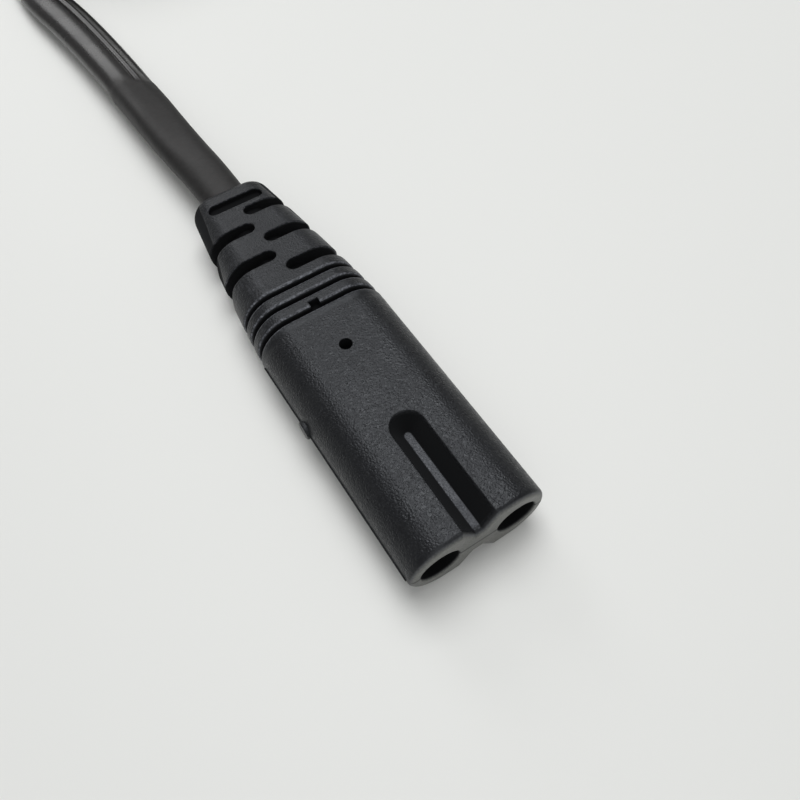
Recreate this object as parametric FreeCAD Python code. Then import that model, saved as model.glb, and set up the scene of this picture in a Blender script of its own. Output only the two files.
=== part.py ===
import FreeCAD, Part
import math
import os

# Figure eight power connector on a flat two-core mains lead.
# Millimetres, +Z up. The connector lies on its underside along Y, mating face towards -Y.
# Distances along the connector are counted from its mating face.

V = FreeCAD.Vector

# Connector outline
overall_length = 53.0
body_width = 15.3
body_height = 8.0
front_edge = 0.6

# Pin entries and the valleys between the two lobes
pin_spacing = 8.6
entry_diameter = 4.3
entry_depth = 3.2
entry_rim = 0.12
valley_length = 13.75
valley_width = 3.7
valley_floor_width = 0.73
web_thickness = 4.0

# Locating hole, gate mark and parting ridge
locating_hole_at = 23.5
locating_hole_diameter = 1.4
locating_hole_depth = 1.6
gate_at = 19.2
gate_diameter = 2.0
gate_height = 0.35
ridge_height = 0.12
ridge_thickness = 0.2
ridge_end_gap = 0.6

# Rings and strain relief
taper_start = 28.6
taper_power = 1.2
relief_end_width = 9.8
relief_end_height = 5.4
relief_rim = 1.5
ring_groove_first = 29.5
ring_groove_pitch = 2.1
ring_groove_count = 3
ring_groove_width = 0.45
ring_groove_depth = 0.75
ring_edge = 0.45
notch_width = 1.16
notch_length = 1.05
notch_depth = 1.1
side_slot_first = 36.4
side_slot_pitch = 2.72
side_slot_count = 5
side_slot_width = 1.8
side_slot_flare = 0.8
end_slot_at = 49.7
end_slot_length = 7.0
end_slot_width = 1.75
relief_wall = 0.3

# Contacts and their carrier
carrier_radius = 2.5
carrier_web = 2.2
carrier_length = 15.5
carrier_front_wall = 0.8
lead_in_radius = 1.4
lead_in_mouth = 1.9
contact_bore_radius = 1.22
contact_wall = 0.48
contact_clearance = 0.05
contact_length = 11.0
contact_slit = 0.4
neck_width = 1.5
neck_length = 2.6
barrel_wall = 0.35
barrel_length = 4.0

# Cord
cord_width = 5.6
cord_thickness = 3.6
core_radius = 1.05
core_spacing = 2.6
conductor_radius = 0.55
sheath_depth = 9.0
core_bend_from = 26.5
core_bend_to = 34.0
bare_length = 0.8

# Hank
layer_pitch = 3.7
layers = 2
columns = 2
fold_radius = 16.8
hank_length = 112.0
hank_centre_x = 18.1
hank_near_arc = 141.0
hank_edge = 1.4
hank_stub = 17.0
tie_thickness = 0.4
tie_width = 12.0
tie_at = 157.0

# Mains plug
plug_x = 16.1
plug_tail = 190.0
plug_relief_length = 15.0
plug_length = 38.0
plug_width = 34.0
plug_height = 13.4
plug_tail_width = 8.4
plug_tail_height = 6.4
plug_edge = 0.8
plug_sheath_depth = 9.0
bridge_width = 26.0
bridge_height = 8.4
bridge_depth = 9.0
plug_pin_spacing = 18.6
plug_pin_radius = 2.0
plug_pin_length = 19.0
plug_pin_lean = 1.6
sleeve_length = 10.0
sleeve_radius = 1.8
shank_radius = 1.45
shank_length = 13.5
plug_core_straight = 3.0

os.makedirs("parts", exist_ok=True)

middle = body_height / 2
contact_radius = contact_bore_radius + contact_wall
contact_front = entry_depth + carrier_front_wall
barrel_radius = conductor_radius + barrel_wall
crimp_height = middle - contact_radius + barrel_radius
hank_height = layers * layer_pitch
hank_outer = fold_radius + (columns - 0.5) * cord_width
hank_inner = fold_radius - cord_width / 2
hank_far_arc = hank_near_arc + hank_length - 2 * hank_outer
hank_entry_x = hank_centre_x - fold_radius - (columns - 1) * cord_width
plug_middle = hank_height + plug_height / 2
core_end = overall_length - sheath_depth

# Lead from the strain relief to the hank, then tail from the hank to the plug:
# distance across, distance from the mating face, height above the table
lead_route = [
    (0.0, core_end, middle),
    (0.0, 57.0, middle),
    (-1.4, 66.0, 4.6),
    (-2.2, 78.0, 5.6),
    (-2.8, 91.0, 5.4),
    (-3.6, 106.0, 3.6),
    (hank_entry_x, 117.5, 1.8),
    (hank_entry_x, hank_near_arc - hank_stub, 1.8),
]
tail_route = [
    (hank_centre_x - fold_radius, hank_near_arc, hank_height + cord_thickness / 2),
    (hank_centre_x - fold_radius, 152.0, hank_height + cord_thickness / 2),
    (5.5, 165.0, 11.3),
    (12.3, 177.0, 13.6),
    (plug_x, 189.0, plug_middle),
    (plug_x, plug_tail + plug_sheath_depth, plug_middle),
]


def along(distance):
    return distance - overall_length / 2


def point(place):
    return V(place[0], along(place[1]), place[2])


def box(x0, x1, y0, y1, z0, z1):
    return Part.makeBox(x1 - x0, y1 - y0, z1 - z0, V(x0, y0, z0))


def rod(radius, x, start, end, z=middle):
    return Part.makeCylinder(radius, end - start, V(x, along(start), z), V(0, 1, 0))


def oval_wire(width, height, centre):
    """Flat oval in a plane across Y: two straight sides joined by half circles."""
    r = height / 2
    h = width / 2 - r
    x, y, z = centre.x, centre.y, centre.z
    corners = [V(x - h, y, z + r), V(x + h, y, z + r), V(x + h, y, z - r), V(x - h, y, z - r)]
    return Part.Wire([
        Part.makeLine(corners[0], corners[1]),
        Part.Arc(corners[1], V(x + h + r, y, z), corners[2]).toShape(),
        Part.makeLine(corners[2], corners[3]),
        Part.Arc(corners[3], V(x - h - r, y, z), corners[0]).toShape(),
    ])


def oval_bar(width, height, start, end, x=0.0, z=middle):
    wire = oval_wire(width, height, V(x, along(start), z))
    return Part.Face(wire).extrude(V(0, end - start, 0))


def edges_across(shape, y):
    """Edges that lie wholly in the plane at y."""
    return [e for e in shape.Edges if abs(e.BoundBox.YMin - y) < 1e-6 and abs(e.BoundBox.YMax - y) < 1e-6]


def taper_size(distance):
    share = max(0.0, (distance - taper_start) / (overall_length - taper_start)) ** taper_power
    width = body_width + (relief_end_width - body_width) * share
    height = body_height + (relief_end_height - body_height) * share
    return width, height


def outer_form():
    """Nose, grip and tapering strain relief before anything is cut from them."""
    nose = oval_bar(body_width, body_height, 0.0, taper_start)
    nose = nose.makeFillet(front_edge, edges_across(nose, along(0.0)))
    steps = 8
    sections = []
    for i in range(steps + 1):
        distance = taper_start + (overall_length - taper_start) * i / steps
        width, height = taper_size(distance)
        sections.append(oval_wire(width, height, V(0, along(distance), middle)))
    taper = Part.makeLoft(sections, True, False)
    taper = taper.makeFillet(relief_rim, edges_across(taper, along(overall_length)))
    return nose.fuse(taper)


def parting_ridge():
    """Thin fin along both sides of the nose and grip where the mould halves met."""
    half = body_width / 2 + ridge_height
    last = ring_groove_first - ring_groove_width / 2 - ring_edge - ridge_end_gap
    return box(-half, half, along(front_edge), along(last), middle - ridge_thickness / 2, middle + ridge_thickness / 2)


def gate_mark():
    end = -body_width / 2 - gate_height
    pip = Part.makeCylinder(gate_diameter / 2, 3.0, V(end, along(gate_at), middle), V(1, 0, 0))
    rim = [e for e in pip.Edges if abs(e.BoundBox.XMin - end) < 1e-6 and abs(e.BoundBox.XMax - end) < 1e-6]
    return pip.makeFillet(0.15, rim)


def valley():
    """Air of the upper valley: drafted walls, narrow floor, round rear end, rounded front edges."""
    floor = web_thickness / 2
    draft = (valley_width - valley_floor_width) / 2 / (middle - floor)
    clear = 1.0
    low = valley_floor_width / 2
    high = valley_width / 2 + draft * clear
    centre = valley_length - valley_width / 2
    front = -2.0
    profile = Part.makePolygon([
        V(-low, along(front), middle + floor),
        V(low, along(front), middle + floor),
        V(high, along(front), body_height + clear),
        V(-high, along(front), body_height + clear),
        V(-low, along(front), middle + floor),
    ])
    channel = Part.Face(profile).extrude(V(0, centre - front, 0))
    rear = Part.makeCone(low, high, middle - floor + clear, V(0, along(centre), middle + floor), V(0, 0, 1))
    plate = box(-body_width, body_width, along(front), along(0.0), middle + 0.6, body_height + clear)
    air = channel.fuse([rear, plate]).removeSplitter()
    lips = []
    for edge in edges_across(air, along(0.0)):
        if abs(edge.CenterOfMass.x) < high and edge.BoundBox.ZMin > middle + 1.0:
            if edge.BoundBox.ZMax < body_height + clear - 1e-3 or abs(edge.BoundBox.ZLength) > 0.1:
                lips.append(edge)
    return air.makeFillet(front_edge, lips)


def ring_groove(distance):
    """Air of one groove round the oval, with rounded edges that follow the taper."""
    width, height = taper_size(distance)
    before = taper_size(distance - 0.5)
    after = taper_size(distance + 0.5)
    tilt = (after[0] + after[1] - before[0] - before[1]) / 4
    r = height / 2
    h = width / 2 - r
    y = along(distance)
    top = middle + r
    floor = ring_groove_width / 2
    half = [(floor, -ring_groove_depth)]
    for turn in (0.0, 22.5, 45.0, 67.5):
        a = math.radians(turn)
        half.append((floor + ring_edge * (1 - math.cos(a)), ring_edge * (math.sin(a) - 1)))
    half.append((floor + 1.6 * ring_edge, 0.22 * ring_edge))
    half.append((floor + 1.6 * ring_edge, ring_edge))
    outline = [(-offset, rise) for offset, rise in reversed(half)] + half

    def profile(x):
        points = [V(x, y + offset, top + rise + tilt * offset) for offset, rise in outline]
        return Part.Face(Part.makePolygon(points + points[:1]))

    upper = profile(-h).extrude(V(2 * h, 0, 0))
    lower = upper.mirror(V(0, 0, middle), V(0, 0, 1))
    right = profile(h).revolve(V(h, y, middle), V(0, 1, 0), 180)
    left = profile(-h).revolve(V(-h, y, middle), V(0, 1, 0), -180)
    return upper.fuse([lower, right, left]).removeSplitter()


def notch():
    first = ring_groove_first
    width, height = taper_size(first)
    top = middle + height / 2
    return box(-notch_width / 2, notch_width / 2, along(first), along(first + notch_length), top - notch_depth,
               top + 1.0)


def slot_flare(distance):
    """Air that rounds the corners of the ribs beside a slot's open end."""
    r = side_slot_width / 2
    edge = taper_size(distance)[0] / 2
    flare = side_slot_flare
    half = []
    for turn in (0.0, 22.5, 45.0, 67.5):
        a = math.radians(turn)
        half.append((edge - flare * (1 - math.sin(a)), r + flare * (1 - math.cos(a))))
    half.append((edge + 0.5 * flare, r + 1.8 * flare))
    outline = half + [(x, -offset) for x, offset in reversed(half)]
    points = [V(x, along(distance) + offset, -1.0) for x, offset in outline]
    return Part.Face(Part.makePolygon(points + points[:1])).extrude(V(0, 0, body_height + 2.0))


def side_slot(distance, side):
    """Slot from the centre line out through one side, round the core of the strain relief."""
    r = side_slot_width / 2
    reach = body_width
    slab = box(r, reach, along(distance) - r, along(distance) + r, -1.0, body_height + 1.0)
    end = Part.makeCylinder(r, body_height + 2.0, V(r, along(distance), -1.0), V(0, 0, 1))
    slot = slab.fuse([end, slot_flare(distance)])
    if side < 0:
        slot = slot.mirror(V(0, 0, 0), V(1, 0, 0))
    core = oval_bar(cord_width + 2 * relief_wall, cord_thickness + 2 * relief_wall, distance - 2.0, distance + 2.0)
    return slot.cut(core)


def end_slot():
    """Closed slots near the cord exit, one above and one below."""
    r = end_slot_width / 2
    h = end_slot_length / 2 - r
    floor = cord_thickness / 2 + relief_wall
    y = along(end_slot_at)
    upper = box(-h, h, y - r, y + r, middle + floor, body_height + 1.0)
    for x in (-h, h):
        upper = upper.fuse(Part.makeCylinder(r, middle - floor + 1.0, V(x, y, middle + floor), V(0, 0, 1)))
    return upper, upper.mirror(V(0, 0, middle), V(0, 0, 1))


def carrier_form():
    """Outside of the contact carrier: two barrels joined by a web."""
    rear = entry_depth + carrier_length
    web = box(-pin_spacing / 2, pin_spacing / 2, along(entry_depth), along(rear), middle - carrier_web / 2,
              middle + carrier_web / 2)
    barrels = [rod(carrier_radius, side * pin_spacing / 2, entry_depth, rear) for side in (-1, 1)]
    return web.fuse(barrels).removeSplitter()


def contact_carrier():
    carrier = carrier_form()
    rear = entry_depth + carrier_length
    for side in (-1, 1):
        x = side * pin_spacing / 2
        mouth = V(x, along(entry_depth), middle)
        carrier = carrier.cut(Part.makeCone(lead_in_mouth, lead_in_radius, carrier_front_wall, mouth, V(0, 1, 0)))
        carrier = carrier.cut(rod(contact_radius + contact_clearance, x, contact_front, rear))
    return carrier


def contact(side):
    """Rolled socket with a slit, a flat neck and a crimp barrel behind it."""
    x = side * pin_spacing / 2
    rear = contact_front + contact_length
    sleeve = rod(contact_radius, x, contact_front, rear)
    bottom = middle - contact_radius
    neck = box(x - neck_width / 2, x + neck_width / 2, along(rear) - 1.0, along(rear + neck_length) + 0.5,
               bottom, bottom + contact_wall)
    neck = neck.common(rod(contact_radius, x, rear - 1.0, rear + neck_length + 0.5))
    start = rear + neck_length
    barrel = rod(barrel_radius, x, start, start + barrel_length, crimp_height)
    shape = sleeve.fuse([neck, barrel])
    shape = shape.cut(rod(contact_bore_radius, x, contact_front, rear))
    shape = shape.cut(rod(conductor_radius, x, start, start + barrel_length, crimp_height))
    slit = box(x - contact_slit / 2, x + contact_slit / 2, along(contact_front), along(rear), middle, body_height)
    return shape.cut(slit)


def route_wire(points):
    """Straight runs joined by tangent arcs, and the radius of each arc."""
    edges = []
    radii = []
    at = points[0]
    for before, corner, after in zip(points, points[1:], points[2:]):
        back = before - corner
        ahead = after - corner
        reach = 0.45 * min(back.Length, ahead.Length)
        half = back.getAngle(ahead) / 2
        back.normalize()
        ahead.normalize()
        split = back + ahead
        split.normalize()
        radius = reach * math.tan(half)
        start = corner + back * reach
        end = corner + ahead * reach
        crown = corner + split * (reach / math.cos(half) - radius)
        edges.append(Part.makeLine(at, start))
        edges.append(Part.Arc(start, crown, end).toShape())
        radii.append(radius)
        at = end
    edges.append(Part.makeLine(at, points[-1]))
    return Part.Wire(edges), radii


def round_run(points, radius):
    path, radii = route_wire(points)
    circle = Part.Wire(Part.makeCircle(radius, points[0], points[1] - points[0]))
    return path.makePipeShell([circle], True, False)


def cord_run(name, places):
    """Flat oval cord along a route, its wide side kept level."""
    points = [point(p) for p in places]
    path, radii = route_wire(points)
    sweep = Part.BRepOffsetAPI.MakePipeShell(path)
    sweep.setBiNormalMode(V(0, 0, 1))
    sweep.add(oval_wire(cord_width, cord_thickness, points[0]))
    sweep.build()
    sweep.makeSolid()
    shape = sweep.shape()
    section = Part.Face(oval_wire(cord_width, cord_thickness, points[0])).Area
    print(name, "arc radii", [round(r, 1) for r in radii])
    print(name, "volume", round(shape.Volume, 1), "section x length", round(section * path.Length, 1))
    return shape


def core_pair(points, bare):
    """Insulated core and its conductor from a crimp to the sheath's end; the box bare has no insulation."""
    conductor = round_run(points, conductor_radius)
    filled = round_run(points, core_radius).cut(bare)
    return filled.cut(conductor), conductor


def connector_core(side):
    start = contact_front + contact_length + neck_length
    stripped = start + barrel_length + bare_length
    x_crimp = side * pin_spacing / 2
    x_cord = side * core_spacing / 2
    points = [
        point((x_crimp, start, crimp_height)),
        point((x_crimp, core_bend_from, crimp_height)),
        point((x_cord, core_bend_to, middle)),
        point((x_cord, core_end, middle)),
    ]
    bare = box(x_crimp - 3, x_crimp + 3, along(start) - 1, along(stripped), 0.0, body_height)
    return core_pair(points, bare)


def racetrack(radius, height, base):
    """Long ring's outline, filled, from base upwards."""
    x = hank_centre_x
    near, far = along(hank_near_arc), along(hank_far_arc)
    wire = Part.Wire([
        Part.makeLine(V(x - radius, near, base), V(x - radius, far, base)),
        Part.Arc(V(x - radius, far, base), V(x, far + radius, base), V(x + radius, far, base)).toShape(),
        Part.makeLine(V(x + radius, far, base), V(x + radius, near, base)),
        Part.Arc(V(x + radius, near, base), V(x, near - radius, base), V(x - radius, near, base)).toShape(),
    ])
    return Part.Face(wire).extrude(V(0, 0, height))


def tie_boxes():
    x0 = hank_centre_x + hank_inner
    x1 = hank_centre_x + hank_outer
    y0 = along(tie_at - tie_width / 2)
    y1 = along(tie_at + tie_width / 2)
    t = tie_thickness
    outside = box(x0 - t, x1 + t, y0, y1, 0.0, hank_height + 2 * t)
    inside = box(x0, x1, y0 - 1.0, y1 + 1.0, t, hank_height + t)
    return outside, inside


def cord_hank():
    ring = racetrack(hank_outer, hank_height, 0.0).cut(racetrack(hank_inner, hank_height, 0.0))
    rims = [e for e in ring.Edges if e.BoundBox.ZLength < 1e-6]
    ring = ring.makeFillet(hank_edge, rims)
    stub = oval_bar(cord_width, cord_thickness, hank_near_arc - hank_stub, hank_near_arc + 10.0, hank_entry_x,
                    cord_thickness / 2)
    outside, inside = tie_boxes()
    return ring.fuse(stub).cut(outside.cut(inside))


def hank_tie():
    outside, inside = tie_boxes()
    corners = [e for e in outside.Edges if e.BoundBox.YLength > tie_width / 2]
    outside = outside.makeFillet(tie_thickness, corners)
    return outside.cut(inside)


def plug_form():
    """Plug moulding's outside: tapering strain relief, shoulders and head."""
    sizes = [
        (0.0, plug_tail_width, plug_tail_height),
        (0.5 * plug_relief_length, plug_tail_width + 1.0, plug_tail_height + 0.7),
        (plug_relief_length, 0.42 * plug_width, 0.68 * plug_height),
        (1.35 * plug_relief_length, 0.8 * plug_width, 0.88 * plug_height),
        (0.68 * plug_length, plug_width, plug_height),
    ]
    sections = [oval_wire(w, h, V(plug_x, along(plug_tail + y), plug_middle)) for y, w, h in sizes]
    shoulders = Part.makeLoft(sections, True, False)
    head = oval_bar(plug_width, plug_height, plug_tail + sizes[-1][0], plug_tail + plug_length, plug_x, plug_middle)
    head = head.makeFillet(plug_edge, edges_across(head, along(plug_tail + plug_length)))
    return head.fuse(shoulders)


def plug_bridge_form():
    face = plug_tail + plug_length
    return oval_bar(bridge_width, bridge_height, face - bridge_depth, face, plug_x, plug_middle)


def lean(shape, side):
    """Turns a pin's shape about its root so that the two tips come together."""
    root = V(plug_x + side * plug_pin_spacing / 2, along(plug_tail + plug_length), plug_middle)
    turned = shape.copy()
    turned.rotate(root, V(0, 0, 1), side * plug_pin_lean)
    return turned


def plug_pin(side):
    """Bare tip, waist under the sleeve, shank and hollow crimp tail."""
    x = plug_x + side * plug_pin_spacing / 2
    face = plug_tail + plug_length
    tip_end = face + plug_pin_length
    tip = rod(plug_pin_radius, x, face + sleeve_length, tip_end, plug_middle)
    tip = tip.makeFillet(0.9 * plug_pin_radius, edges_across(tip, along(tip_end)))
    shank = rod(shank_radius, x, face - shank_length, face + sleeve_length, plug_middle)
    bore = rod(conductor_radius, x, face - shank_length, face - shank_length + barrel_length, plug_middle)
    return tip.fuse(shank).removeSplitter().cut(bore)


def plug_core(side):
    face = along(plug_tail + plug_length)
    x_pin = plug_x + side * plug_pin_spacing / 2
    x_cord = plug_x + side * core_spacing / 2
    sheath_end = along(plug_tail + plug_sheath_depth)
    axis = Part.makeLine(V(x_pin, face - shank_length + barrel_length, plug_middle),
                         V(x_pin, face - shank_length - plug_core_straight, plug_middle))
    axis = lean(axis, side)
    points = [
        axis.Vertexes[0].Point,
        axis.Vertexes[1].Point,
        V(x_cord, sheath_end + plug_core_straight + 0.5, plug_middle),
        V(x_cord, sheath_end, plug_middle),
    ]
    bare = box(plug_x - plug_width, plug_x + plug_width, face - shank_length - bare_length, face,
               plug_middle - 5, plug_middle + 5)
    return core_pair(points, bare)


def pin_sleeve(side):
    x = plug_x + side * plug_pin_spacing / 2
    face = plug_tail + plug_length
    outside = rod(sleeve_radius, x, face - 2.0, face + sleeve_length, plug_middle)
    return outside.cut(rod(shank_radius, x, face - 2.0, face + sleeve_length, plug_middle))


# Connector
lead = cord_run("cord_lead", lead_route)
carrier = contact_carrier()
contacts = {}
cores = {}
conductors = {}
for side, word in ((-1, "left"), (1, "right")):
    contacts[word] = contact(side)
    cores[word], conductors[word] = connector_core(side)

body = outer_form().fuse([parting_ridge(), gate_mark()])
upper_valley = valley()
body = body.cut([upper_valley, upper_valley.mirror(V(0, 0, middle), V(0, 0, 1))])
for i in range(ring_groove_count):
    body = body.cut(ring_groove(ring_groove_first + i * ring_groove_pitch))
body = body.cut(notch())
for i in range(side_slot_count):
    body = body.cut(side_slot(side_slot_first + i * side_slot_pitch, 1 if i % 2 == 0 else -1))
body = body.cut(list(end_slot()))
hole_top = V(0, along(locating_hole_at), body_height - locating_hole_depth)
body = body.cut(Part.makeCylinder(locating_hole_diameter / 2, locating_hole_depth + 1.0, hole_top, V(0, 0, 1)))
for side in (-1, 1):
    x = side * pin_spacing / 2
    r = entry_diameter / 2
    body = body.cut(rod(r, x, 0.0, entry_depth))
    body = body.cut(Part.makeCone(r + entry_rim, r, entry_rim, V(x, along(0.0), middle), V(0, 1, 0)))
body = body.cut(carrier_form())
body = body.cut(list(contacts.values()) + list(cores.values()) + list(conductors.values()) + [lead])

# Plug
tail = cord_run("cord_tail", tail_route)
bridge = plug_bridge_form()
plug = plug_form()
pins = {}
sleeves = {}
plug_cores = {}
plug_conductors = {}
for side, word in ((-1, "left"), (1, "right")):
    pins[word] = lean(plug_pin(side), side)
    sleeves[word] = lean(pin_sleeve(side), side)
    plug_cores[word], plug_conductors[word] = plug_core(side)
inner = list(pins.values()) + list(sleeves.values())
plug = plug.cut(bridge)
plug = plug.cut(inner + list(plug_cores.values()) + list(plug_conductors.values()) + [tail])
bridge = bridge.cut(inner)

parts = {
    "connector_body": body,
    "contact_carrier": carrier,
    "contact_left": contacts["left"],
    "contact_right": contacts["right"],
    "core_left": cores["left"],
    "core_right": cores["right"],
    "conductor_left": conductors["left"],
    "conductor_right": conductors["right"],
    "cord_lead": lead,
    "cord_hank": cord_hank(),
    "hank_tie": hank_tie(),
    "cord_tail": tail,
    "plug_body": plug,
    "plug_bridge": bridge,
    "plug_pin_left": pins["left"],
    "plug_pin_right": pins["right"],
    "pin_sleeve_left": sleeves["left"],
    "pin_sleeve_right": sleeves["right"],
    "plug_core_left": plug_cores["left"],
    "plug_core_right": plug_cores["right"],
    "plug_conductor_left": plug_conductors["left"],
    "plug_conductor_right": plug_conductors["right"],
}
for name, shape in parts.items():
    print(name, "solids", len(shape.Solids), "valid", shape.isValid(), "volume", round(shape.Volume, 2))
    shape.exportStep("parts/" + name + ".step")
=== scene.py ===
"""Looks of the figure eight power connector: finish, cord, floor, light and camera."""
import math

import bmesh
import bpy
from mathutils import Matrix, Vector


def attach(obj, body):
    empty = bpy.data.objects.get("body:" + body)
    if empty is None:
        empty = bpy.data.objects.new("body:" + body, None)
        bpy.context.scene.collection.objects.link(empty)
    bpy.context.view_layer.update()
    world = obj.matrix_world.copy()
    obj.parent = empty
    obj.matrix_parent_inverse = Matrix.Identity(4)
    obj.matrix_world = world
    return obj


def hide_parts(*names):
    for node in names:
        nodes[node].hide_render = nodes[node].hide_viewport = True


# Lengths are in millimetres where no heading says metres, and count from the mating face along the part
MM = 0.001

# Connector's outer form, as in the part's source
LENGTH = 53.0
MIDDLE = 4.0
TAPER_START = 28.6
TAPER_POWER = 1.2
HALF_FLAT = 3.65
RADIUS_LOSS = 1.3
FLAT_LOSS = 1.45
PIN_OFFSET = 4.3
WEB_RISE = 2.0

# Where the connector's finish, painted shade and painted light change: start, end and, where there is one,
# the fade outside them
RECESS_RUN = (0.8, 51.2, 0.2)
RECESS_DEPTH = (0.15, 0.4)
STRIP_RUN = (0.8, 13.0, 0.15)
STRIP_EDGE = (0.37, 0.42)
STRIP_LEVEL = (WEB_RISE + 0.02, WEB_RISE + 0.12)
ENTRY_EDGE = (2.2, 2.28)
ENTRY_START = (0.03, 0.25)
RIM_RUN = (TAPER_START, 50.8, 0.3)
RIM_DEPTH = (0.05, 0.12, 0.05)
FACE_DEPTH = (0.03, 0.3)
SEAM_LEVEL = (MIDDLE - 0.15, MIDDLE + 0.15, 0.05)
GRAIN_RUN = (0.9, 27.6, 0.9)
RELIEF_START = (27.0, 30.0)

# Colours, and what multiplies the connector's colour where its finish changes: painted shade in the
# recesses, painted light on the valley floor, the seam's dark line, a painted reflection of the lit floor
# on the mating face and painted highlights on the rims
BODY_BLACK = (0.0088, 0.0092, 0.0104)
# Mating face: black warmed by a painted reflection of the lit floor, and lightened 13 times below
FACE_BLACK_AND_REFLECTION = (0.0098, 0.0099, 0.0092)
CORD_BLACK = (0.0112, 0.0104, 0.0104)
FLOOR_PALE = (0.735, 0.743, 0.727, 1.0)
PAINTED_SHADE_TONE = 0.12
STRIP_PAINTED_LIGHT = 5.0
SEAM_TONE = 0.05
FACE_PAINTED_REFLECTION = 13.0
# Painted highlights on the rims: lightening from least to most, and the noise's range for it
RIM_HIGHLIGHT_TONE = (3.0, 16.0)
RIM_HIGHLIGHT_RANGE = (0.4, 0.65)

# Grain of the plastics: ranges of a noise's values, tones from darkest to lightest,
# spots per metre, and heights and edge radii in metres
NOISE_RANGE = (0.3, 0.7)
FINE_RANGE = (0.3, 0.75)
GRAIN_TONE = (0.75, 1.3)
BODY_TONE = (0.7, 1.35)
BROAD_SHARE = 14
PIP_SCALE = 4200
PIP_REACH = (0.05, 0.75)
PIP_HEIGHT = (0.34, 0.14)
FINE_SCALE = 5200
FINE_HEIGHT = 0.55
# Spots per metre of the painted highlights on the rims
RIM_HIGHLIGHT_SCALE = 3200
BROAD_SCALE = 260
SHEATH_SCALE = 1500
SHEATH_BROAD_SCALE = 110
GRAIN_DEPTH = 0.00012
SHEATH_DEPTH = 0.00002
RELIEF_GRAIN = 0.8
LEAST_GRAIN = 0.15
BODY_EDGE = 0.00016
SOFT_EDGE = 0.0001

# Gloss of the plastics, as roughness or what is added to it, and specular level
ROUGH_SPREAD = 0.05
BODY_ROUGH = (0.35, 0.43)
RECESS_ROUGH = 1.0
GLINT_RANGE = (0.55, 1.0)
GLINT_ROUGH = (0.03, -0.14)
PRESSED_ROUGH = (0.5, 0.6)
TWIN_ROUGH = (0.25, 0.34)
FLOOR_ROUGH = 0.55
PLASTIC_SPECULAR = 0.5
BODY_SPECULAR = 0.32
BODY_SPECULAR_TINT = (0.9, 0.94, 1.0, 1.0)
CORD_SPECULAR = 0.36

# Tool lines and smudges of the metals, per metre and in metres too
LINE_SCALE = 7000
LINE_DEPTH = 0.000006
LINE_ROUGH = (-0.05, 0.07)
SMUDGE_SCALE = 350
SMUDGE_RANGE = (0.35, 0.7)
SMUDGE_TONE = (0.82, 1.06)
SMUDGE_ROUGH = (0.0, 0.06)

# Cord's section. The powers shape its oval, and what is added to them squares it where it is pressed.
# Swell and groove are height, place and spread across the half width, and drop is height, start and run.
CORD_WIDTH = 5.6
CORD_THICKNESS = 3.6
OVAL_ACROSS = 2.4
OVAL_RISE = 2.2
SQUARE_ACROSS = 1.8
SQUARE_RISE = 0.8
SWELL = (0.1, -0.25, 0.35)
GROOVE = (0.55, 0.22, 0.1)
DROP = (0.4, 0.2, 0.5)
EDGE_FADE = 4
SIDE_START = 0.3
SIDE_RUN = 0.25
HALF_RING = 40

# How the cord's section changes along the lead
WIDENING = 1.5
WIDENING_RUN = 48.0
CORD_ROLL = 13.0
PRESSED_START = 57.0
PRESSED_RUN = 22.0
SQUARENESS = 0.8
CORD_STEP = 81.7
TWIN_START = (CORD_STEP - 0.5, CORD_STEP + 2.5)
LEDGE_RUN = 1.2
BLEND_RUN = 12.0
FADE_START = 108.0
FADE_RUN = 18.0
FIRST_RUN = 90.0
RING_STEP = 0.6
HIDDEN_STRIDE = 3

# Hank, tie and plug, as in the part's source. A turn has a column and a layer, and its legs have points.
TURNS = [(1, 0), (0, 0), (0, 1), (1, 1), (0, 2)]
LEG_POINTS = {"left": 4, "far": 8, "right": 4, "near": 8}
LAYER_PITCH = 3.7
FOLD_RADIUS = 16.8
HANK_X = 18.1
HANK_NEAR = 141.0
HANK_FAR = 202.6
CROSSING_START = 0.25
CROSSING_RUN = 0.7
TIE_AT = 157.0
TIE_HALF = 6.0
TIE_THICKNESS = 0.4
TIE_SLOPE = 20.0
TIE_NEAR_END = 0.4
PLUG_X = 16.1
PLUG_MIDDLE = 14.1

# Cord's route: across, from the mating face, above the table.
# The lead sinks gently to the table, up to about 3 mm lower than the part's solid.
LEAD = [
    (0.0, 44.0, 4.0),
    (0.0, 57.0, 4.0),
    (-0.75, 66.0, 3.8),
    (-1.1, 78.0, 3.3),
    (-1.5, 91.0, 2.7),
    (-2.6, 106.0, 2.1),
    (-4.3, 117.5, 1.8),
    (-4.3, 124.0, 1.8),
]
TAIL = [
    (1.3, 141.0, 9.2),
    (1.3, 152.0, 9.2),
    (5.5, 165.0, 11.3),
    (12.3, 177.0, 13.6),
    (PLUG_X, 189.0, PLUG_MIDDLE),
    (PLUG_X, 199.0, PLUG_MIDDLE),
]

# Studio, in metres and watts: each light's place, target, size and power
FLOOR_HALF = 3
WORLD_COLOUR = (1.0, 1.0, 0.99, 1.0)
WORLD_STRENGTH = 0.26
LIGHTS = {
    "soft_top": ((0.1, 0.16, 0.56), (0, 0, 0), 0.42, 2.45),
    "soft_front": ((-0.3, -1.3, 1.3), (0, 0, 0), 1.6, 9.2),
    "soft_back": ((0.04, 0.85, 0.48), (0, 0.02, 0), 0.35, 1.1),
}

# Camera at the photograph's angle: its place, and the directions of the picture's axes
CAMERA_PLACE = (-17.432, -43.037, 67.874)
CAMERA_RIGHT = (0.83946, -0.54280, -0.02603)
CAMERA_DOWN = (-0.47576, -0.71095, -0.51788)
CAMERA_FORWARD = (0.26260, 0.44712, -0.85506)
CAMERA_SENSOR = 36.0
CAMERA_LENS = 32.45
CAMERA_NEAR = 5.0


def place(x, y, z):
    """Point of the shared frame in metres, from millimetres with y counted from the mating face."""
    return Vector((x, y - LENGTH / 2, z)) * MM


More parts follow.
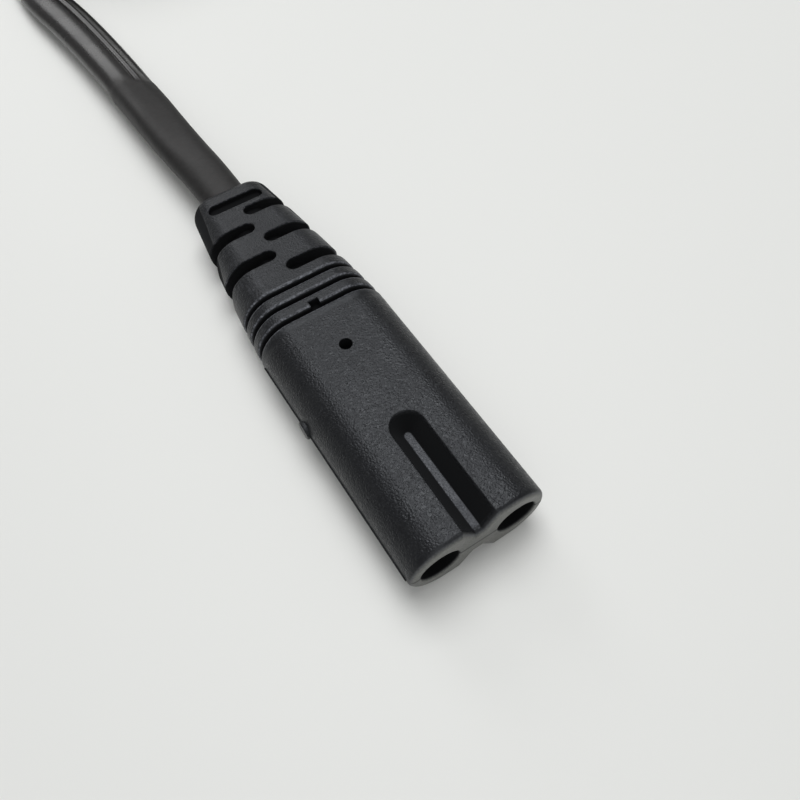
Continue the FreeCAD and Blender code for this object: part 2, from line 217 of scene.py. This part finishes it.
def smooth(t):
    """Soft step from nothing at zero to one at one."""
    t = max(0.0, min(1.0, t))
    return t * t * (3 - 2 * t)


# Shader nodes


def material(name):
    mat = bpy.data.materials.new(name)
    mat.use_nodes = True
    return mat, mat.node_tree, mat.node_tree.nodes["Principled BSDF"]


def node(tree, kind, **values):
    """New node with its sockets set."""
    made = tree.nodes.new(kind)
    for key, value in values.items():
        made.inputs[key].default_value = value
    return made


def plug_in(tree, value, socket):
    """Number or link into a socket."""
    if isinstance(value, (int, float)):
        socket.default_value = value
    else:
        tree.links.new(value, socket)


def math_node(tree, operation, *values):
    made = tree.nodes.new("ShaderNodeMath")
    made.operation = operation
    for socket, value in zip(made.inputs, values):
        plug_in(tree, value, socket)
    return made.outputs[0]


def times(tree, first, second):
    return math_node(tree, "MULTIPLY", first, second)


def rest_of(tree, share):
    return math_node(tree, "SUBTRACT", 1.0, share)


def hypotenuse(tree, first, second):
    squares = math_node(tree, "ADD", times(tree, first, first), times(tree, second, second))
    return math_node(tree, "SQRT", squares)


def ramp(tree, value, low, high, to_low=0.0, to_high=1.0):
    """Value from low..high brought to to_low..to_high and held there."""
    made = tree.nodes.new("ShaderNodeMapRange")
    made.inputs["From Min"].default_value = low
    made.inputs["From Max"].default_value = high
    made.inputs["To Min"].default_value = to_low
    made.inputs["To Max"].default_value = to_high
    made.clamp = True
    tree.links.new(value, made.inputs["Value"])
    return made.outputs["Result"]


def until(tree, value, low, high):
    """One below low, fading to nothing at high."""
    return ramp(tree, value, low, high, 1.0, 0.0)


def between(tree, value, low, high, fade):
    """One inside low..high, fading to nothing over fade."""
    return times(tree, ramp(tree, value, low - fade, low), until(tree, value, high, high + fade))


def noise(tree, coords, scale, detail=2.0, roughness=0.5):
    made = node(tree, "ShaderNodeTexNoise", Scale=scale, Detail=detail, Roughness=roughness)
    tree.links.new(coords, made.inputs["Vector"])
    return made.outputs["Fac"]


def mixed(tree, share, first, second):
    """Value between first and second by share."""
    made = tree.nodes.new("ShaderNodeMix")
    tree.links.new(share, made.inputs["Factor"])
    plug_in(tree, first, made.inputs["A"])
    plug_in(tree, second, made.inputs["B"])
    return made.outputs["Result"]


def mixed_colour(tree, share, first, second):
    """Colour between first and second by share."""
    made = tree.nodes.new("ShaderNodeMix")
    made.data_type = "RGBA"
    tree.links.new(share, made.inputs["Factor"])
    # The colour sockets share their names with others, so they are taken by number
    colour_a, colour_b = made.inputs[6], made.inputs[7]
    tree.links.new(first, colour_a)
    tree.links.new(second, colour_b)
    return made.outputs[2]


def tinted(tree, value, tint):
    """Colour of one tint at a varying strength."""
    made = tree.nodes.new("ShaderNodeVectorMath")
    made.operation = "SCALE"
    made.inputs[0].default_value = tint
    tree.links.new(value, made.inputs["Scale"])
    return made.outputs[0]


def soft_edges(tree, radius):
    """Normal with small rounded edges."""
    made = node(tree, "ShaderNodeBevel", Radius=radius)
    made.samples = 6
    return made.outputs["Normal"]


def raise_surface(tree, shader, height, depth, edge=0.0):
    """Bump of a height, with rounded edges where an edge radius is given."""
    bump = node(tree, "ShaderNodeBump", Strength=1.0, Distance=depth)
    tree.links.new(height, bump.inputs["Height"])
    if edge:
        tree.links.new(soft_edges(tree, edge), bump.inputs["Normal"])
    tree.links.new(bump.outputs[0], shader.inputs["Normal"])


def object_coords(tree):
    return tree.nodes.new("ShaderNodeTexCoord").outputs["Object"]


def part_places(tree, coords):
    """A point's place across, above the table and from the mating face."""
    split = tree.nodes.new("ShaderNodeSeparateXYZ")
    tree.links.new(coords, split.inputs[0])
    x = times(tree, split.outputs["X"], 1 / MM)
    z = times(tree, split.outputs["Z"], 1 / MM)
    d = math_node(tree, "ADD", times(tree, split.outputs["Y"], 1 / MM), LENGTH / 2)
    return x, z, d


# Materials


def grained_plastic(name, colour, rough, grain, depth):
    """Moulding with a fine spark-eroded grain."""
    mat, tree, shader = material(name)
    coords = object_coords(tree)
    fine = noise(tree, coords, grain, roughness=0.6)
    broad = noise(tree, coords, grain / BROAD_SHARE)
    tone = ramp(tree, fine, *FINE_RANGE, *GRAIN_TONE)
    satin = ramp(tree, broad, *NOISE_RANGE, rough - ROUGH_SPREAD, rough + ROUGH_SPREAD)
    tree.links.new(tinted(tree, tone, colour), shader.inputs["Base Color"])
    tree.links.new(satin, shader.inputs["Roughness"])
    raise_surface(tree, shader, fine, depth, SOFT_EDGE)
    shader.inputs["Specular IOR Level"].default_value = PLASTIC_SPECULAR
    return mat


def depth_under_form(tree, across, rise, d):
    """How far a point lies under the connector's plain outer form."""
    share = math_node(tree, "POWER", ramp(tree, d, TAPER_START, LENGTH), TAPER_POWER)
    radius = math_node(tree, "MULTIPLY_ADD", share, -RADIUS_LOSS, MIDDLE)
    flat = math_node(tree, "MULTIPLY_ADD", share, -FLAT_LOSS, HALF_FLAT)
    side = math_node(tree, "MAXIMUM", math_node(tree, "SUBTRACT", across, flat), 0.0)
    return math_node(tree, "SUBTRACT", radius, hypotenuse(tree, side, rise))


def connector_masks(tree, x, z, d):
    """Shares for the recesses and hole entries under painted shade, the valley floor under painted light,
    the rims with painted highlights, the mating face with its painted reflection and the seam across it.
    """
    across = math_node(tree, "ABSOLUTE", x)
    rise = math_node(tree, "SUBTRACT", z, MIDDLE)
    under = depth_under_form(tree, across, rise, d)

    level = math_node(tree, "ABSOLUTE", rise)
    # Painted light: the valley floor strip, lit from above, is lightened and spared the painted shade
    lit_strip = times(tree, until(tree, across, *STRIP_EDGE), until(tree, level, *STRIP_LEVEL))
    lit_strip = times(tree, lit_strip, between(tree, d, *STRIP_RUN))

    recess = times(tree, ramp(tree, under, *RECESS_DEPTH), between(tree, d, *RECESS_RUN))
    recess = times(tree, recess, rest_of(tree, lit_strip))
    hole = hypotenuse(tree, math_node(tree, "SUBTRACT", across, PIN_OFFSET), rise)
    entry = times(tree, until(tree, hole, *ENTRY_EDGE), ramp(tree, d, *ENTRY_START))
    # Painted shade: the recesses and the holes' entries, darkened where shade falls
    painted_shade = math_node(tree, "MAXIMUM", recess, entry)

    rim = times(tree, between(tree, under, *RIM_DEPTH), between(tree, d, *RIM_RUN))
    face = until(tree, d, *FACE_DEPTH)
    seam = times(tree, between(tree, z, *SEAM_LEVEL), face)
    return painted_shade, lit_strip, rim, face, seam


def connector_plastic(name):
    """Connector moulding: grained grip, nose and strain relief, fully rough recesses darkened by painted
    shade, and a faintly grained mating face lightened by a painted reflection of the lit floor.
    """
    mat, tree, shader = material(name)
    coords = object_coords(tree)
    x, z, d = part_places(tree, coords)
    painted_shade, lit_strip, rim, face, seam = connector_masks(tree, x, z, d)

    # Grain of pips, full on nose and grip, less on the strain relief, faint on the mating face
    grip = between(tree, d, *GRAIN_RUN)
    relief = times(tree, ramp(tree, d, *RELIEF_START), RELIEF_GRAIN)
    strength = math_node(tree, "MAXIMUM", math_node(tree, "MAXIMUM", grip, relief), LEAST_GRAIN)
    strength = times(tree, strength, rest_of(tree, painted_shade))
    pips = node(tree, "ShaderNodeTexVoronoi", Scale=PIP_SCALE, Randomness=1.0)
    tree.links.new(coords, pips.inputs["Vector"])
    pip = ramp(tree, pips.outputs["Distance"], *PIP_REACH, *PIP_HEIGHT)
    grit = noise(tree, coords, FINE_SCALE, detail=1.0)
    fine = math_node(tree, "MULTIPLY_ADD", grit, FINE_HEIGHT, pip)
    raise_surface(tree, shader, times(tree, fine, strength), GRAIN_DEPTH, BODY_EDGE)

    # Colour: painted shade darkens the recesses and hole entries, painted light lightens the valley floor,
    # a painted reflection of the lit floor lightens the mating face, painted highlights lighten the rims in
    # speckles, and the seam is darker
    rim_highlight = ramp(tree, noise(tree, coords, RIM_HIGHLIGHT_SCALE, roughness=0.6), *RIM_HIGHLIGHT_RANGE, *RIM_HIGHLIGHT_TONE)
    changes = [(painted_shade, PAINTED_SHADE_TONE), (lit_strip, STRIP_PAINTED_LIGHT), (seam, SEAM_TONE), (face, FACE_PAINTED_REFLECTION), (rim, rim_highlight)]
    tone = ramp(tree, fine, *FINE_RANGE, *BODY_TONE)
    for share, change in changes:
        tone = times(tree, tone, mixed(tree, share, 1.0, change))
    # The mating face takes its own black, warmed and lightened by the painted reflection
    colour = mixed_colour(tree, face, tinted(tree, tone, BODY_BLACK), tinted(tree, tone, FACE_BLACK_AND_REFLECTION))
    tree.links.new(colour, shader.inputs["Base Color"])

    # Gloss, with bright specks among the pips of the grip
    speck = tree.nodes.new("ShaderNodeSeparateColor")
    tree.links.new(pips.outputs["Color"], speck.inputs[0])
    glint = times(tree, ramp(tree, speck.outputs["Red"], *GLINT_RANGE, *GLINT_ROUGH), grip)
    satin = ramp(tree, noise(tree, coords, BROAD_SCALE), *NOISE_RANGE, *BODY_ROUGH)
    rough = math_node(tree, "ADD", satin, glint)
    tree.links.new(mixed(tree, painted_shade, rough, RECESS_ROUGH), shader.inputs["Roughness"])
    shader.inputs["Specular IOR Level"].default_value = BODY_SPECULAR
    shader.inputs["Specular Tint"].default_value = BODY_SPECULAR_TINT
    return mat


def cord_plastic(name):
    """Cord sheath: matt where it is pressed flat behind the connector, glossier where it is twin."""
    mat, tree, shader = material(name)
    coords = object_coords(tree)
    _, _, d = part_places(tree, coords)
    fine = noise(tree, coords, SHEATH_SCALE, roughness=0.6)
    broad = noise(tree, coords, SHEATH_BROAD_SCALE, detail=3.0, roughness=0.6)
    tone = ramp(tree, fine, *FINE_RANGE, *GRAIN_TONE)
    matt = ramp(tree, broad, *NOISE_RANGE, *PRESSED_ROUGH)
    glossy = ramp(tree, broad, *NOISE_RANGE, *TWIN_ROUGH)
    rough = mixed(tree, ramp(tree, d, *TWIN_START), matt, glossy)
    tree.links.new(tinted(tree, tone, CORD_BLACK), shader.inputs["Base Color"])
    tree.links.new(rough, shader.inputs["Roughness"])
    shader.inputs["Specular IOR Level"].default_value = CORD_SPECULAR
    raise_surface(tree, shader, fine, SHEATH_DEPTH)
    return mat


def lined_metal(name, colour, rough, stretch, depth=LINE_DEPTH):
    """Bare metal with faint smudges, and tool lines drawn out along the axes with a small stretch."""
    mat, tree, shader = material(name)
    coords = object_coords(tree)
    drawn = node(tree, "ShaderNodeMapping", Scale=stretch)
    tree.links.new(coords, drawn.inputs["Vector"])
    line = noise(tree, drawn.outputs[0], LINE_SCALE, detail=3.0, roughness=0.6)
    smudge = noise(tree, coords, SMUDGE_SCALE, detail=3.0, roughness=0.6)
    tone = ramp(tree, smudge, *NOISE_RANGE, *SMUDGE_TONE)
    scratched = ramp(tree, line, *NOISE_RANGE, *LINE_ROUGH)
    touched = ramp(tree, smudge, *SMUDGE_RANGE, *SMUDGE_ROUGH)
    rubbed = math_node(tree, "ADD", scratched, touched)
    tree.links.new(tinted(tree, tone, colour), shader.inputs["Base Color"])
    tree.links.new(math_node(tree, "ADD", rubbed, rough), shader.inputs["Roughness"])
    raise_surface(tree, shader, line, depth, SOFT_EDGE)
    shader.inputs["Metallic"].default_value = 1.0
    return mat


def floor_paint(name):
    """Plain pale floor."""
    mat, _, shader = material(name)
    shader.inputs["Base Color"].default_value = FLOOR_PALE
    shader.inputs["Roughness"].default_value = FLOOR_ROUGH
    return mat


def dress(obj, mat):
    obj.data.materials.clear()
    obj.data.materials.append(mat)


def link(obj):
    bpy.context.scene.collection.objects.link(obj)


# Cord


def hank_points():
    """Four turns of the long ring, then up on to the third layer."""
    stations = [(leg, t / count) for leg, count in LEG_POINTS.items() for t in range(count)]
    straight = HANK_FAR - HANK_NEAR
    points = []
    for (column, layer), (next_column, next_layer) in zip(TURNS, TURNS[1:]):
        for leg, t in stations:
            crossing = smooth((t - CROSSING_START) / CROSSING_RUN) if leg == "near" else 0.0
            r = FOLD_RADIUS + CORD_WIDTH * (column + (next_column - column) * crossing)
            z = CORD_THICKNESS / 2 + LAYER_PITCH * (layer + (next_layer - layer) * crossing)
            if leg == "left":
                x, y = HANK_X - r, HANK_NEAR + straight * t
            elif leg == "far":
                x, y = HANK_X - r * math.cos(math.pi * t), HANK_FAR + r * math.sin(math.pi * t)
            elif leg == "right":
                x, y = HANK_X + r, HANK_FAR - straight * t
            else:
                x, y = HANK_X + r * math.cos(math.pi * t), HANK_NEAR - r * math.sin(math.pi * t)
            if leg == "right" or (leg == "near" and t < TIE_NEAR_END):
                over_tie = 1.0 - smooth((abs(y - TIE_AT) - TIE_HALF) / TIE_SLOPE)
                z += TIE_THICKNESS * over_tie
            points.append((x, y, z))
    return points


def centreline():
    """Close points along the route's NURBS spline."""
    control = [place(*p) for p in LEAD + hank_points() + TAIL]
    curve = bpy.data.curves.new("route", "CURVE")
    curve.dimensions = "3D"
    curve.resolution_u = 10
    spline = curve.splines.new("NURBS")
    spline.points.add(len(control) - 1)
    for slot, p in zip(spline.points, control):
        slot.co = (*p, 1.0)
    spline.order_u = 3
    spline.use_endpoint_u = True
    guide = bpy.data.objects.new("route", curve)
    link(guide)
    bpy.context.view_layer.update()
    shaped = guide.evaluated_get(bpy.context.evaluated_depsgraph_get())
    mesh = bpy.data.meshes.new_from_object(shaped)
    line = [v.co.copy() for v in mesh.vertices]
    bpy.data.meshes.remove(mesh)
    bpy.data.objects.remove(guide)
    bpy.data.curves.remove(curve)
    return line


def resample(line, step):
    """Points at even steps along a line."""
    out = [line[0]]
    left = step
    for a, b in zip(line, line[1:]):
        run = (b - a).length
        at = 0.0
        while run - at >= left:
            at += left
            out.append(a.lerp(b, at / run))
            left = step
        left -= run - at
    out.append(line[-1])
    return out


def flat_rise(c, square=0.0):
    """Half thickness of the plain oval cord at c across, from -1 to 1, with squarer shoulders by square."""
    across_power = OVAL_ACROSS + SQUARE_ACROSS * square
    rise_power = OVAL_RISE + SQUARE_RISE * square
    return CORD_THICKNESS / 2 * max(0.0, 1 - abs(c) ** across_power) ** (1 / rise_power)


def hump(c, height, middle, spread):
    """Rounded rise with its top at middle."""
    return height * math.exp(-((c - middle) / spread) ** 2)


def twin_rise(c):
    """Half thickness of the twin cord: a broad lobe and a lower one with a groove between them."""
    drop, drop_start, drop_run = DROP
    lower = drop * smooth((c - drop_start) / drop_run)
    inside = min(1.0, EDGE_FADE * (1 - abs(c)))
    return max(flat_rise(c) + (hump(c, *SWELL) - hump(c, *GROOVE) - lower) * inside, 0.0)


def cord_outline(width, ledge, blend, square):
    """Points round the section, turned from oval to twin by ledge in the middle and blend at the sides."""
    upper = []
    lower = []
    for i in range(HALF_RING + 1):
        c = -math.cos(math.pi * i / HALF_RING)
        flat = flat_rise(c, square)
        twin = ledge + (blend - ledge) * smooth((abs(c) - SIDE_START) / SIDE_RUN)
        upper.append((c * width / 2, flat * (1 - twin) + twin_rise(c) * twin))
        lower.append((c * width / 2, -flat))
    return upper + lower[-2:0:-1]


def lead_section(d):
    """Outline and roll of the lead's section at d from the mating face."""
    ledge = smooth((d - CORD_STEP) / LEDGE_RUN)
    blend = smooth((d - CORD_STEP + BLEND_RUN / 2) / BLEND_RUN)
    pressed = smooth((d - PRESSED_START) / PRESSED_RUN)
    fade = 1 - smooth((d - FADE_START) / FADE_RUN)
    width = CORD_WIDTH + WIDENING * max(0.0, d - LENGTH) / WIDENING_RUN * fade
    outline = cord_outline(width, ledge, blend, SQUARENESS * pressed * (1 - ledge))
    return outline, CORD_ROLL * pressed * fade


def ring_places():
    """Points along the cord, close together on its first run and wider apart beyond it."""
    fine = resample(centreline(), RING_STEP * MM)
    near = int(FIRST_RUN / RING_STEP)
    return fine[:near] + fine[near:-1:HIDDEN_STRIDE] + fine[-1:]


def build_cord():
    """One closed tube along the route, and its centreline."""
    line = ring_places()
    twin_section = cord_outline(CORD_WIDTH, 1.0, 1.0, 0.0)
    up = Vector((0, 0, 1))
    bm = bmesh.new()
    rings = []
    run = 0.0
    for i, p in enumerate(line):
        ahead = (line[min(i + 1, len(line) - 1)] - line[max(i - 1, 0)]).normalized()
        side = ahead.cross(up).normalized()
        lift = side.cross(ahead)
        outline = twin_section
        if i:
            run += (p - line[i - 1]).length
        if run < FIRST_RUN * MM:
            outline, roll = lead_section(p.y / MM + LENGTH / 2)
            turn = Matrix.Rotation(math.radians(roll), 3, ahead)
            side = turn @ side
            lift = turn @ lift
        rings.append([bm.verts.new(p + side * (x * MM) + lift * (z * MM)) for x, z in outline])
    for a, b in zip(rings, rings[1:]):
        for k in range(len(a)):
            n = (k + 1) % len(a)
            bm.faces.new((a[k], a[n], b[n], b[k]))
    bm.faces.new(reversed(rings[0]))
    bm.faces.new(rings[-1])
    bmesh.ops.recalc_face_normals(bm, faces=bm.faces)
    mesh = bpy.data.meshes.new("cord")
    bm.to_mesh(mesh)
    bm.free()
    for face in mesh.polygons:
        face.use_smooth = True
    obj = bpy.data.objects.new("cord", mesh)
    link(obj)
    return obj, line


# Stage


def build_floor():
    corners = [(x * FLOOR_HALF, y * FLOOR_HALF, 0) for x, y in ((-1, -1), (1, -1), (1, 1), (-1, 1))]
    mesh = bpy.data.meshes.new("floor")
    mesh.from_pydata(corners, [], [(0, 1, 2, 3)])
    obj = bpy.data.objects.new("floor", mesh)
    link(obj)
    return obj


def build_world():
    world = bpy.data.worlds.new("studio")
    world.use_nodes = True
    background = world.node_tree.nodes["Background"]
    background.inputs["Color"].default_value = WORLD_COLOUR
    background.inputs["Strength"].default_value = WORLD_STRENGTH
    bpy.context.scene.world = world


def area_light(name, where, target, size, power):
    data = bpy.data.lights.new(name, "AREA")
    data.size = size
    data.energy = power
    obj = bpy.data.objects.new(name, data)
    obj.location = where
    obj.rotation_euler = (Vector(target) - Vector(where)).to_track_quat("-Z", "Y").to_euler()
    link(obj)


def build_camera():
    data = bpy.data.cameras.new("camera")
    data.sensor_width = CAMERA_SENSOR
    data.lens = CAMERA_LENS
    data.clip_start = CAMERA_NEAR * MM
    obj = bpy.data.objects.new("camera", data)
    axes = (Vector(CAMERA_RIGHT), -Vector(CAMERA_DOWN), -Vector(CAMERA_FORWARD))
    turn = Matrix(axes).transposed().to_4x4()
    obj.matrix_world = Matrix.Translation(Vector(CAMERA_PLACE) * MM) @ turn
    link(obj)
    bpy.context.scene.camera = obj


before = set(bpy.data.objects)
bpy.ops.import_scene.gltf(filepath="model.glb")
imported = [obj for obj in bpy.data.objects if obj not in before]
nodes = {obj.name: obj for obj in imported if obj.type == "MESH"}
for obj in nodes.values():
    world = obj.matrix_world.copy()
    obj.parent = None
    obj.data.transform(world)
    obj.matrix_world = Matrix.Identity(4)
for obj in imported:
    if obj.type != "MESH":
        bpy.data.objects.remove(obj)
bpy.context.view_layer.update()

# Finish of the CAD pieces: colour and roughness, then grain per metre and its height in metres,
# or the stretch of the tool lines
finish = {
    "connector_body": connector_plastic("moulding_black"),
    "contact_carrier": grained_plastic("carrier_plastic", (0.03, 0.03, 0.032), 0.5, 4200, 0.00004),
    "contact_left": lined_metal("contact_metal", (0.72, 0.55, 0.28), 0.3, (1.0, 0.05, 1.0)),
    "core_left": grained_plastic("core_blue", (0.03, 0.12, 0.45), 0.45, 2400, 0.00002),
    "core_right": grained_plastic("core_brown", (0.16, 0.06, 0.03), 0.45, 2400, 0.00002),
    "conductor_left": lined_metal("copper", (0.72, 0.36, 0.22), 0.34, (1.0, 0.08, 1.0), 0.00004),
    "hank_tie": grained_plastic("tie_black", (0.02, 0.02, 0.022), 0.8, 3000, 0.0002),
    "plug_body": grained_plastic("plug_black", (0.014, 0.014, 0.0155), 0.5, 5200, 0.00006),
    "plug_bridge": grained_plastic("bridge_black", (0.015, 0.015, 0.016), 0.36, 3600, 0.00002),
    "plug_pin_left": lined_metal("pin_metal", (0.75, 0.74, 0.7), 0.2, (0.05, 1.0, 0.05)),
    "pin_sleeve_left": grained_plastic("sleeve_black", (0.012, 0.012, 0.012), 0.36, 3000, 0.000015),
}
for paired in ("contact", "conductor", "plug_pin", "pin_sleeve"):
    finish[paired + "_right"] = finish[paired + "_left"]
for hand in ("left", "right"):
    finish["plug_core_" + hand] = finish["core_" + hand]
    finish["plug_conductor_" + hand] = finish["conductor_left"]
for name, mat in finish.items():
    dress(nodes[name], mat)

cord, cord_line = build_cord()
dress(cord, cord_plastic("cord_black"))
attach(cord, "root")
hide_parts("cord_lead", "cord_hank", "cord_tail")

floor = build_floor()
dress(floor, floor_paint("floor_pale"))
build_world()
for name, (where, target, size, power) in LIGHTS.items():
    area_light(name, where, target, size, power)
build_camera()
bpy.context.scene.view_settings.view_transform = "Standard"
